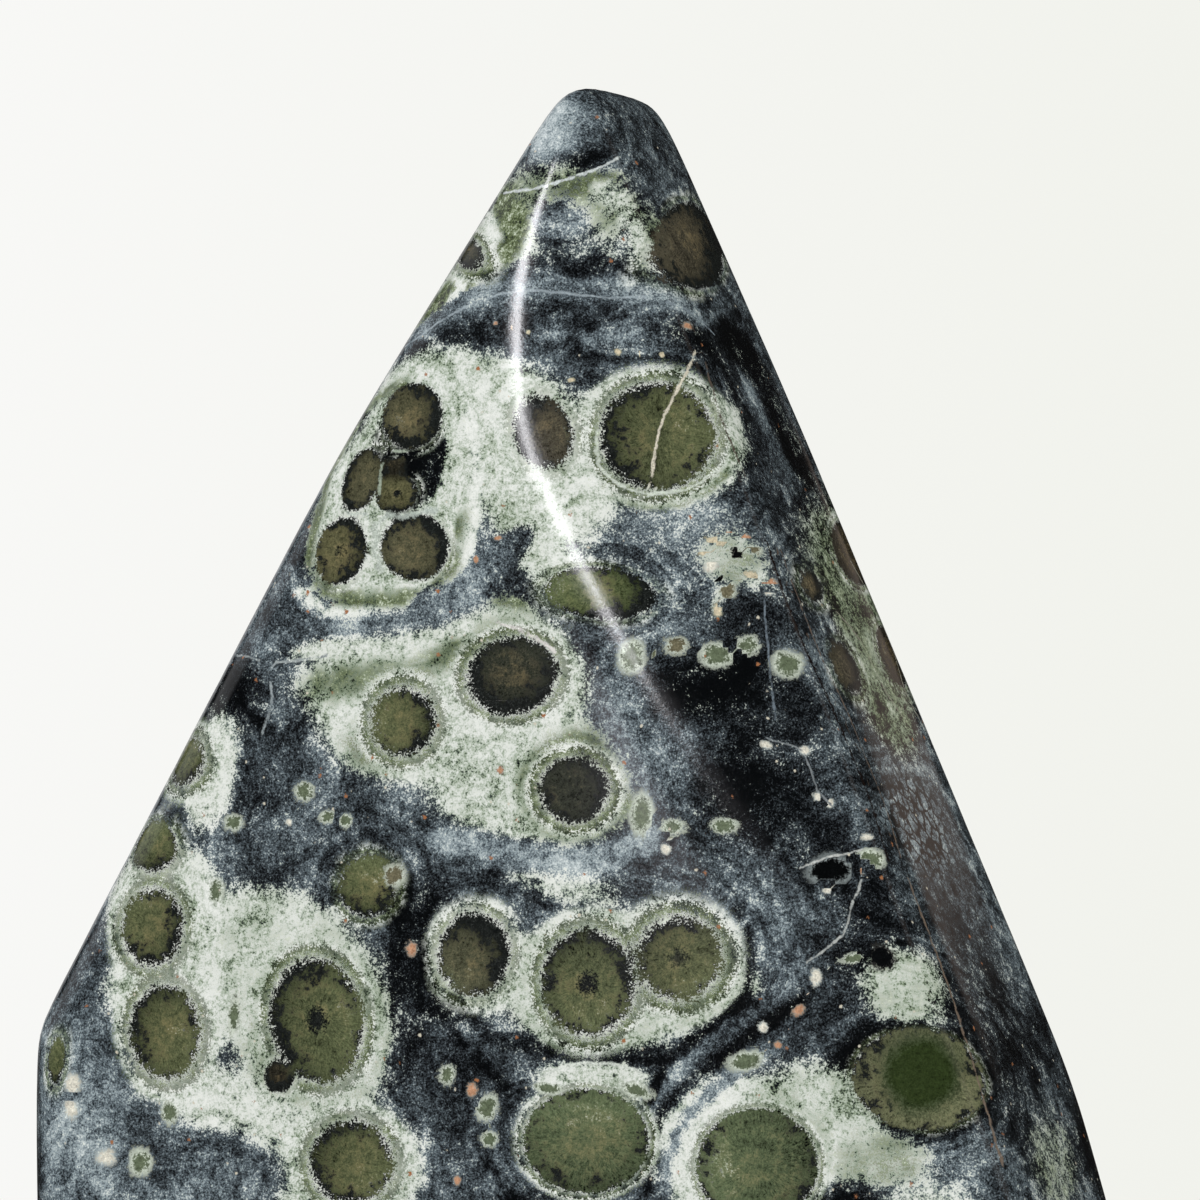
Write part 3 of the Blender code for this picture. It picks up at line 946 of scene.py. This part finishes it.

    # Veins, cracks and the painted reflections along the right ridge, which wander by a tenth of a millimetre
    # or two
    wander = add(tree, "TexNoise", {"Vector": mm, "Scale": 1.4, "Detail": 3.0, "Roughness": 0.7}, out="Color")
    wander = add(tree, "VectorMath", {0: wander, 1: (0.5, 0.5, 0.5)}, operation="SUBTRACT")
    wander = add(tree, "VectorMath", {0: wander, "Scale": 5.0}, operation="SCALE")
    wander = add(tree, "VectorMath", {0: wander, 1: vector["vein_and_reflection_spot"]})
    length = add(tree, "VectorMath", {0: wander}, out=1, operation="LENGTH")
    vein_and_reflection = add(tree, "VectorMath", {0: colour["vein_and_reflection_tint"], "Scale": tone}, operation="SCALE")
    whole = mottled(0.5, patch=0.8, mottle=1.2, speck=1.2, grain=0.8)
    gaps = add(tree, "MapRange", {"Value": whole, "From Min": 0.40, "From Max": 0.60})
    gaps = add(tree, "Math", {0: gaps, 1: field["vein_and_reflection_broken"]}, operation="MULTIPLY")
    solid = add(tree, "Math", {0: 1.0, 1: gaps}, operation="SUBTRACT")
    paint = lay(paint, vein_and_reflection, mottled(length, mottle=1.5, speck=2.0, grain=1.4), 1.45, 0.65, solid)

    # Sparse iron-stained and cream specks, 0.2 to 0.3 mm, outside the orbs
    for size, share, speck_colour in ((0.9, 0.05, settings.iron), (0.6, 0.05, "#CFC9BA")):
        distance = add(tree, "TexVoronoi", {"Vector": mm, "Scale": 1 / size}, out="Distance")
        pick = add(tree, "SeparateColor", {0: distance.node.outputs["Color"]})
        picked = add(tree, "Math", {0: pick, 1: share}, operation="LESS_THAN")
        outside = add(tree, "Math", {0: reach, 1: 1.0}, operation="GREATER_THAN")
        kept = add(tree, "Math", {0: picked, 1: outside}, operation="MULTIPLY")
        paint = lay(paint, linear(speck_colour), mottled(distance, speck=0.5, grain=0.3), 0.18, 0.08, kept)

    sockets = {"Value": paleness, "From Min": 0.34, "From Max": 0.64, "To Min": 0.09, "To Max": 0.13}
    rough = mottled(add(tree, "MapRange", sockets), grain=0.16, speck=0.10)
    relief = {"Height": mottled(1.0, grain=0.5, speck=0.8, mottle=1.0), "Strength": 0.03, "Distance": 0.0001}
    bump = add(tree, "Bump", relief)
    look = {"Base Color": paint, "Roughness": rough, "Normal": bump, "IOR": 1.54}
    shader = add(tree, "BsdfPrincipled", look)
    add(tree, "OutputMaterial", {"Surface": shader})
    return material


def paper_material(colour):
    """Matt paper sweep, lit evenly, that fades into the pale room before its edge shows."""
    material = bpy.data.materials.new("matt_paper_sweep")
    tree = blank_tree(material)
    place = add(tree, "TexCoord", out="Object")
    far = add(tree, "VectorMath", {0: place}, out=1, operation="LENGTH")
    sockets = {"Value": far, "From Min": FLOOR_FADE[0], "From Max": FLOOR_FADE[1]}
    fade = add(tree, "MapRange", sockets, interpolation_type="SMOOTHSTEP")
    paper = add(tree, "BsdfDiffuse", {"Color": linear(colour), "Roughness": 0.5})
    clear = add(tree, "BsdfTransparent")
    shader = add(tree, "MixShader", {0: fade, 1: paper, 2: clear})
    add(tree, "OutputMaterial", {"Surface": shader})
    return material


# What the polish mirrors: a dark cloth with soft pale openings, the first of them the strip light. Each is an
# angle right of the camera, a height above the floor, half its width and height and its fade, all in degrees,
# with its brightness and colour. slant: how far its upper part turns, in degrees for each degree of height.
Opening = namedtuple("Opening", "turn height wide tall fade brightness colour slant", defaults=(0.0,))
OPENINGS = (
    Opening(-32.9, 25.2, 1.9, 10.9, 1.8, 18.0, "#FBFAFD", -0.9),
    Opening(-32.7, 25.0, 4.0, 9.0, 5.0, 0.8, "#F3EDF3", -0.9),
    Opening(-30.7, 5.8, 1.0, 1.2, 1.4, 2.3, "#F3EDF3", -0.5),
    Opening(142, 13.2, 6.0, 0.7, 1.6, 0.36, "#EFDACD"),
    Opening(72, 20, 4.0, 20.0, 10.0, 0.35, "#EBD9CC"),
    Opening(-110, 25, 14.0, 14.0, 14.0, 0.5, "#F4F4F6"),
    Opening(-160, 15, 8.0, 14.0, 8.0, 0.5, "#F4F4F6"),
)


def drape_material():
    """Dark cloth round the set with pale openings, seen only in the stone's polish."""
    material = bpy.data.materials.new("dark_felt_drape")
    tree = blank_tree(material)
    place = add(tree, "TexCoord", out="Object")
    direction = add(tree, "VectorMath", {0: place}, operation="NORMALIZE")
    x, y, z = (add(tree, "SeparateXYZ", {0: direction}, out=axis) for axis in range(3))
    toward_camera = add(tree, "Math", {0: y, 1: -1.0}, operation="MULTIPLY")
    turn = add(tree, "Math", {0: x, 1: toward_camera}, operation="ARCTAN2")
    height = add(tree, "Math", {0: z}, operation="ARCSINE")
    glow = add(tree, "Emission", {"Color": linear("#5A5552"), "Strength": 0.10})
    for opening in OPENINGS:
        strength = opening.brightness
        upright = add(tree, "Math", {0: height, 1: -opening.slant, 2: turn}, operation="MULTIPLY_ADD")
        middle_turn = opening.turn - opening.slant * opening.height
        for value, middle, half in (
            (upright, middle_turn, opening.wide),
            (height, opening.height, opening.tall),
        ):
            off = add(tree, "Math", {0: value, 1: radians(middle)}, operation="SUBTRACT")
            off = add(tree, "Math", {0: off}, operation="ABSOLUTE")
            sides = {"Value": off, "From Min": radians(half + opening.fade), "From Max": radians(half)}
            inside = add(tree, "MapRange", sides, interpolation_type="SMOOTHSTEP")
            strength = add(tree, "Math", {0: inside, 1: strength}, operation="MULTIPLY")
        light = add(tree, "Emission", {"Color": linear(opening.colour), "Strength": strength})
        glow = add(tree, "AddShader", {0: glow, 1: light})
    add(tree, "OutputMaterial", {"Surface": glow})
    return material


class JASPER_OT_stone(bpy.types.Operator):
    """Make the polished stone over its ground solid"""

    bl_idname = "jasper.stone"
    bl_label = "Polished stone"

    def execute(self, context):
        settings = context.scene.jasper_stone
        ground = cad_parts[NODE]
        mesh = fine_mesh(ground, settings.grid)
        points, normals = polish_mesh(mesh, ground.data, settings.softness)
        faces = [tuple(face.vertices) for face in mesh.polygons]
        tree = BVHTree.FromPolygons([Vector(p) for p in points], faces)
        orbs = [(place_in_photo(tree, orb), KINDS[orb.kind], radians(orb.thick - orb.turn)) for orb in ORBS]
        beads = [
            (place_in_photo(tree, Bead(*row)), BEAD_KINDS[kind])
            for kind, rows in BEADS.items()
            for row in rows
        ]
        washes = [(place_in_photo(tree, wash), wash.soft, wash[-4:]) for wash in WASHES]
        bands = [
            (trace_in_photo(tree, band.points), band.half_width * PIXEL_MM, band.soft, band[-4:])
            for band in BANDS
        ]
        # Veins, cracks and the painted reflections along the right ridge
        veins_and_reflections = [(trace_in_photo(tree, vein_and_reflection.points), vein_and_reflection.half_width * PIXEL_MM, *vein_and_reflection[2:]) for vein_and_reflection in VEINS_AND_RIDGE_REFLECTIONS]
        placed = [place for place, _, _ in orbs]
        more_orbs, more_beads, more_washes = hidden_marks(points, normals, placed, settings.seed)
        beads += more_beads

        # The mesh is made finer in and just around each bead
        near = np.zeros(len(points), bool)
        for place, _ in beads:
            near |= ((points - place.centre) ** 2).sum(1) < (2.0 * place.radius + 0.4) ** 2
        refine(mesh, near)
        points, normals = polish_mesh(mesh, ground.data, settings.softness)

        fields, tint, radial = lay_orbs(points, orbs + more_orbs)
        fields.update(zip(GROUND_FIELDS, paint_ground(points, more_washes + washes, bands)))
        bead_spot, bead_core, bead_ring, fields["bead_edge"], fields["bead_uneven"] = lay_beads(points, beads)
        vein_and_reflection_spot, vein_and_reflection_tint, fields["vein_and_reflection_broken"] = lay_veins_and_reflections(points, normals, veins_and_reflections)
        colours = {"tint": tint, "bead_core": bead_core, "bead_ring": bead_ring, "vein_and_reflection_tint": vein_and_reflection_tint}
        vectors = {"radial": radial, "bead_spot": bead_spot, "vein_and_reflection_spot": vein_and_reflection_spot}
        for kind, group in (("FLOAT", fields), ("FLOAT_COLOR", colours), ("FLOAT_VECTOR", vectors)):
            for name, values in group.items():
                store(mesh, name, values, kind)

        mesh.materials.clear()
        mesh.materials.append(jasper_material(settings))
        stone = bpy.data.objects.new("polished_stone", mesh)
        context.scene.collection.objects.link(stone)
        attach(stone, "root")
        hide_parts(NODE)
        return {"FINISHED"}


class JASPER_OT_stage(bpy.types.Operator):
    """Make the pale floor, the soft light and the camera"""

    bl_idname = "jasper.stage"
    bl_label = "Studio"

    def execute(self, context):
        settings = context.scene.jasper_stage
        bpy.ops.mesh.primitive_circle_add(vertices=96, radius=FLOOR_RADIUS, fill_type="NGON")
        floor = context.object
        floor.name = "paper_sweep"
        floor.data.materials.append(paper_material(settings.floor_colour))
        bpy.ops.mesh.primitive_uv_sphere_add(
            segments=48, ring_count=24, radius=DRAPE_RADIUS, location=DRAPE_MIDDLE
        )
        drape = context.object
        drape.name = "dark_drape"
        drape.data.materials.append(drape_material())
        drape.visible_camera = False
        drape.visible_diffuse = False
        drape.visible_shadow = False
        drape.visible_transmission = False

        world = bpy.data.worlds.new("pale_room")
        context.scene.world = world
        tree = blank_tree(world)
        # The pale room is a little darker and greener to the right of the camera's view
        direction = add(tree, "TexCoord", out="Generated")
        side = add(tree, "SeparateXYZ", {0: direction})
        share = add(tree, "MapRange", {"Value": side, "From Min": -0.10, "From Max": 0.10})
        shades = {0: share, 6: linear("#F8F8F6"), 7: linear("#F1F2EC")}
        colour = add(tree, "Mix", shades, out=2, data_type="RGBA")
        light = add(tree, "Background", {"Color": colour, "Strength": settings.surround})
        add(tree, "OutputWorld", {"Surface": light})

        key = bpy.data.lights.new("key", "SUN")
        key.energy = settings.key
        key.angle = settings.key_size
        lamp = bpy.data.objects.new("key", key)
        lamp.rotation_euler = (pi / 2 - settings.key_height, 0.0, settings.key_turn)
        lamp.visible_glossy = False
        context.scene.collection.objects.link(lamp)

        camera = bpy.data.cameras.new("camera")
        camera.sensor_width = SENSOR_MM
        camera.lens = SENSOR_MM * -EYE_MM.y / (2 * FRAME_MIDDLE * PIXEL_MM)
        holder = bpy.data.objects.new("camera", camera)
        holder.location = EYE_MM * MM
        holder.rotation_euler = (pi / 2, 0.0, 0.0)
        context.scene.collection.objects.link(holder)
        context.scene.camera = holder
        context.scene.view_settings.view_transform = "Standard"
        return {"FINISHED"}


class JASPER_PT_panel(bpy.types.Panel):
    bl_label = "Kambaba jasper"
    bl_space_type = "VIEW_3D"
    bl_region_type = "UI"
    bl_category = "Jasper"

    def draw(self, context):
        for operator in OPERATORS:
            self.layout.operator(operator.bl_idname)


OPERATORS = (JASPER_OT_stone, JASPER_OT_stage)
CLASSES = (StoneSettings, StageSettings, *OPERATORS, JASPER_PT_panel)


def register():
    for item in CLASSES:
        bpy.utils.register_class(item)
    bpy.types.Scene.jasper_stone = PointerProperty(type=StoneSettings)
    bpy.types.Scene.jasper_stage = PointerProperty(type=StageSettings)


def unregister():
    del bpy.types.Scene.jasper_stage
    del bpy.types.Scene.jasper_stone
    for item in reversed(CLASSES):
        bpy.utils.unregister_class(item)


def main():
    register()
    bpy.ops.jasper.stone()
    bpy.ops.jasper.stage()


if __name__ == "__main__":
    main()
